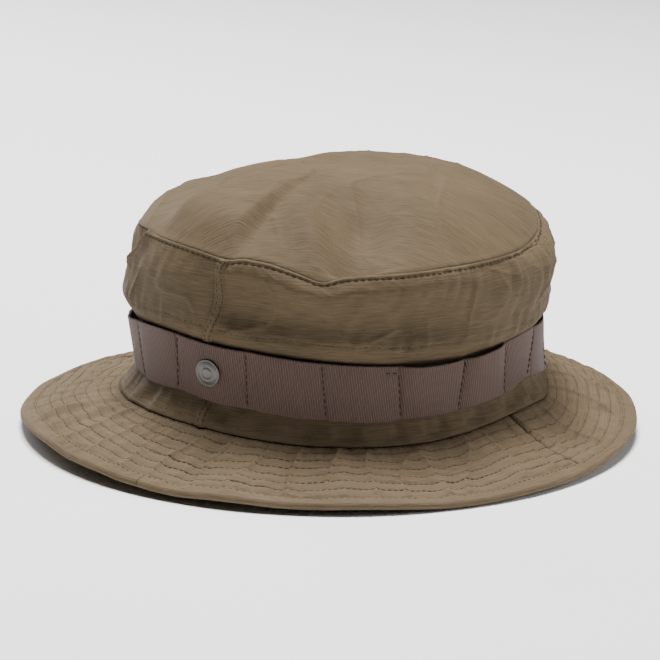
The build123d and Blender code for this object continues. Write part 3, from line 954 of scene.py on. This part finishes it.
def binding_point(tau, way):
    """A point of the folded strip: way runs from -1 on the upper face, round the edge, to 1 below."""
    nose, half, middle = 0.962, 1.7, -1.2
    flat = np.clip((np.abs(way) - 0.25) / 0.75, 0, 1)
    bend = np.clip(way / 0.25, -1, 1) * np.pi / 2
    share = nose + (1 - nose) * np.cos(bend) - (nose - BIND) * flat
    over = -np.sin(bend)
    edge = 0.45 * smooth(0.86, 1.0, flat) - 0.22 * np.sin(np.pi * flat)
    wave = 0.10 * ripple(tau, 130, 81) + 0.13 * ripple(tau, 62, 82)
    stitched = -0.35 * hill(share, BIND + 0.022, 0.010)
    point = brim_point(tau, share, quilted=0.0)
    point[..., 2] += middle + over * (half - edge + (wave + stitched) * smooth(0, 0.15, flat))
    return point


def edge_binding():
    """The strip folded round the brim's edge, puffed over the layers inside it."""
    tau, way = np.meshgrid(np.arange(1100) * 2 * np.pi / 1100, np.linspace(-1, 1, 42), indexing="ij")
    cloth = place_in_cloth(140 * tau, 10 * way)
    points = binding_point(tau, way)
    return cloth_piece("brim_edge_binding", points, CLOTH, True, BRIM_CLOTH, cloth, flip=True)


def binding_threads():
    """The row that holds the folded strip, seen on both faces."""
    tau = np.linspace(-np.pi, np.pi, 2600)
    flat = (0.962 - BIND - 0.022) / (0.962 - BIND)
    way = np.full(tau.shape, 0.25 + 0.75 * flat)
    lines = [seam_line(binding_point, tau, side * way, swap=True) for side in (-1, 1)]
    return thread_rows("binding_stitches", lines, BRIM_THREAD, pitch=2.9, share=0.76, radius=0.16, sunk=0.2)


def brim_threads():
    """Concentric rows of stitches on the brim's upper face."""
    lines = []
    for share in [0.022] + ROWS:
        tau = np.linspace(-np.pi, np.pi, 2600)
        wander = 0.0035 * ripple(tau, 11, int(1000 * share))
        lines.append(seam_line(brim_point, tau, share + wander, swap=True))
    return thread_rows("brim_stitches", lines, BRIM_THREAD, pitch=2.6, share=0.8, radius=0.13, sunk=0.14)


# ---------------------------------------------------------------- other stitches and the inside

def crown_threads():
    tau = np.linspace(-np.pi, np.pi, 1600)
    top = seam_line(side_point, tau, np.full(tau.shape, SEAM - TOP_STITCH) + 0.12 * ripple(tau, 30, 91))
    hem = seam_line(side_point, tau, np.full(tau.shape, HEM + 2.0) + 0.1 * ripple(tau, 30, 92))
    band = seam_line(side_point, tau, band_height(tau) + 0.15 * ripple(tau, 16, 93))
    return [
        thread_rows("crown_top_stitches", [top], THREAD, pitch=3.0, radius=0.2),
        thread_rows("crown_hem_stitches", [hem], BRIM_THREAD, pitch=2.8, radius=0.14),
        thread_rows("sweatband_stitches", [band], BRIM_THREAD, pitch=2.9, radius=0.13),
    ]


def felled_threads():
    """Two rows down each felled seam."""
    height = np.linspace(HEM + 1, SEAM - 0.6, 240)
    lines = []
    for seam in (front_seam, back_seam):
        for side in (-1, 1):
            tau = seam(height) + side * FELL_STITCH / 102
            point, normal = seam_line(side_point, tau, height)
            lines.append((point + 0.55 * normal, normal))
    return thread_rows("felled_seam_stitches", lines, THREAD, pitch=2.6, radius=0.19)


def sweatband_piece():
    tau, height = around(-np.pi, np.pi, 501, band_low[2], band_high[2], 40)
    tau, height = tau[:-1], height[:-1]
    ring = ring_values(CROWN, np.maximum(height, WEB_LOW - 1.5))
    dents = np.minimum(side_relief(tau, np.maximum(height, WEB_LOW)), 0)
    outer = ring_point(tau, ring, -2.4 + dents)
    outer[..., 2] += np.minimum(height - (WEB_LOW - 1.5), 0)
    fold = hill(height, band_low[2], 1.2) + hill(height, band_high[2], 1.2)
    thick = (1.25 - 0.4 * fold)[..., None]
    cloth = place_in_cloth(95 * tau, height)
    return cloth_piece("sweatband", outer, thick, True, INSIDE_CLOTH, cloth)


def label_pieces():
    low, high = box_mm("size_label")
    reach = high[0] / 97
    tau, height = around(np.pi - reach, np.pi + reach, 34, low[2], high[2], 22)
    ring = ring_values(CROWN, height)
    label = ring_point(tau, ring, -4.15 + 0.12 * lumps(100 * tau, height, 14, 97))
    cloth = place_in_cloth(97 * tau, height)
    piece = cloth_piece("size_label", label, 0.35, False, LABEL_CLOTH, cloth)
    lines = []
    for side in (-1, 1):
        rise = np.linspace(low[2] + 1, high[2] - 1, 30)
        tau = np.full(rise.shape, np.pi + side * (reach - 0.02))
        point = ring_point(tau, ring_values(CROWN, rise), -4.6)
        inward = -point * np.array([1, 1, 0]) / np.linalg.norm(point[:, :2], axis=1)[:, None]
        lines.append((point, inward))
    threads = thread_rows("size_label_stitches", lines, THREAD, pitch=2.4, radius=0.16)
    return piece, threads


# ---------------------------------------------------------------- put the hat together

left, right = crown_halves()
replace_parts(left, "crown_side_left")
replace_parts(right, "crown_side_right")
top = crown_top_piece()
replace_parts(top, "crown_top")
allowance = seam_allowance()
webbing = webbing_strip()
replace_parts(webbing, "loop_webbing")
webbing_tip = webbing_end()
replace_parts(webbing_threads(), "webbing_stitches")
badge, washer = badge_pieces()
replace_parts(badge, "badge_cap")
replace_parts(washer, "badge_washer")
brim = brim_halves()
for brim_name, brim_piece in brim.items():
    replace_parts(brim_piece, brim_name)
binding = edge_binding()
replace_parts(binding, "brim_edge_binding")
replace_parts(binding_threads(), "binding_stitches")
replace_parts(brim_threads(), "brim_stitches")
for threads in crown_threads() + [felled_threads()]:
    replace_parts(threads, threads.name.replace("_look", ""))
sweatband = sweatband_piece()
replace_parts(sweatband, "sweatband")
label, label_threads = label_pieces()
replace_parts(label, "size_label")
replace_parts(label_threads, "size_label_stitches")


# ---------------------------------------------------------------- stage, lights and camera

def make_floor():
    mesh = bpy.data.meshes.new("floor")
    size = 6.0
    corners = [(-size, -size, 0), (size, -size, 0), (size, size, 0), (-size, size, 0)]
    mesh.from_pydata(corners, [], [(0, 1, 2, 3)])
    material, _, shader = new_material("floor_paper")
    shader.inputs["Base Color"].default_value = (0.93, 0.93, 0.93, 1)
    shader.inputs["Roughness"].default_value = 0.9
    mesh.materials.append(material)
    floor = bpy.data.objects.new("floor", mesh)
    bpy.context.collection.objects.link(floor)


def make_light(name, place, aim, size, power, colour=(1, 1, 1)):
    data = bpy.data.lights.new(name, "AREA")
    data.shape = "RECTANGLE"
    data.size, data.size_y = size
    data.energy = power
    data.color = colour
    lamp = bpy.data.objects.new(name, data)
    lamp.location = place
    direction = np.array(aim) - np.array(place)
    lamp.rotation_euler = aim_rotation(direction)
    bpy.context.collection.objects.link(lamp)


def aim_rotation(direction):
    return Vector(direction).to_track_quat("-Z", "Y").to_euler()


def make_camera():
    """A long lens, a little above the brim, from the front and the wearer's left."""
    azimuth, elevation, distance = math.radians(32.1), math.radians(14.0), 1.3
    roll = math.radians(2.3)
    away = np.array([math.sin(azimuth) * math.cos(elevation), -math.cos(azimuth) * math.cos(elevation),
                     math.sin(elevation)])
    right = np.array([math.cos(azimuth), math.sin(azimuth), 0])
    upward = np.cross(right, -away)
    aim = np.array([0, 0, 0.046]) - 0.0022 * right - 0.0039 * upward
    data = bpy.data.cameras.new("camera")
    data.lens, data.sensor_width = 157.7, 36
    camera = bpy.data.objects.new("camera", data)
    camera.location = aim + distance * away
    turned_right = right * math.cos(roll) + upward * math.sin(roll)
    turned_up = np.cross(away, turned_right)
    camera.rotation_euler = Matrix([turned_right, turned_up, away]).transposed().to_euler()
    bpy.context.collection.objects.link(camera)
    bpy.context.scene.camera = camera


def make_world(strength):
    world = bpy.data.worlds.new("studio")
    world.use_nodes = True
    background = world.node_tree.nodes["Background"]
    background.inputs["Color"].default_value = (1, 1, 1, 1)
    background.inputs["Strength"].default_value = strength
    bpy.context.scene.world = world


make_floor()
make_world(0.035)
make_light("overhead", (-0.3, 0.2, 2.3), (0, 0, 0.0), (1.0, 0.8), 158)
make_light("left_side", (-1.45, 0.55, 0.6), (0, 0, 0.05), (0.9, 0.9), 13)
make_light("right_side", (1.3, 0.9, 0.6), (0, 0, 0.05), (0.9, 0.9), 12)
make_camera()
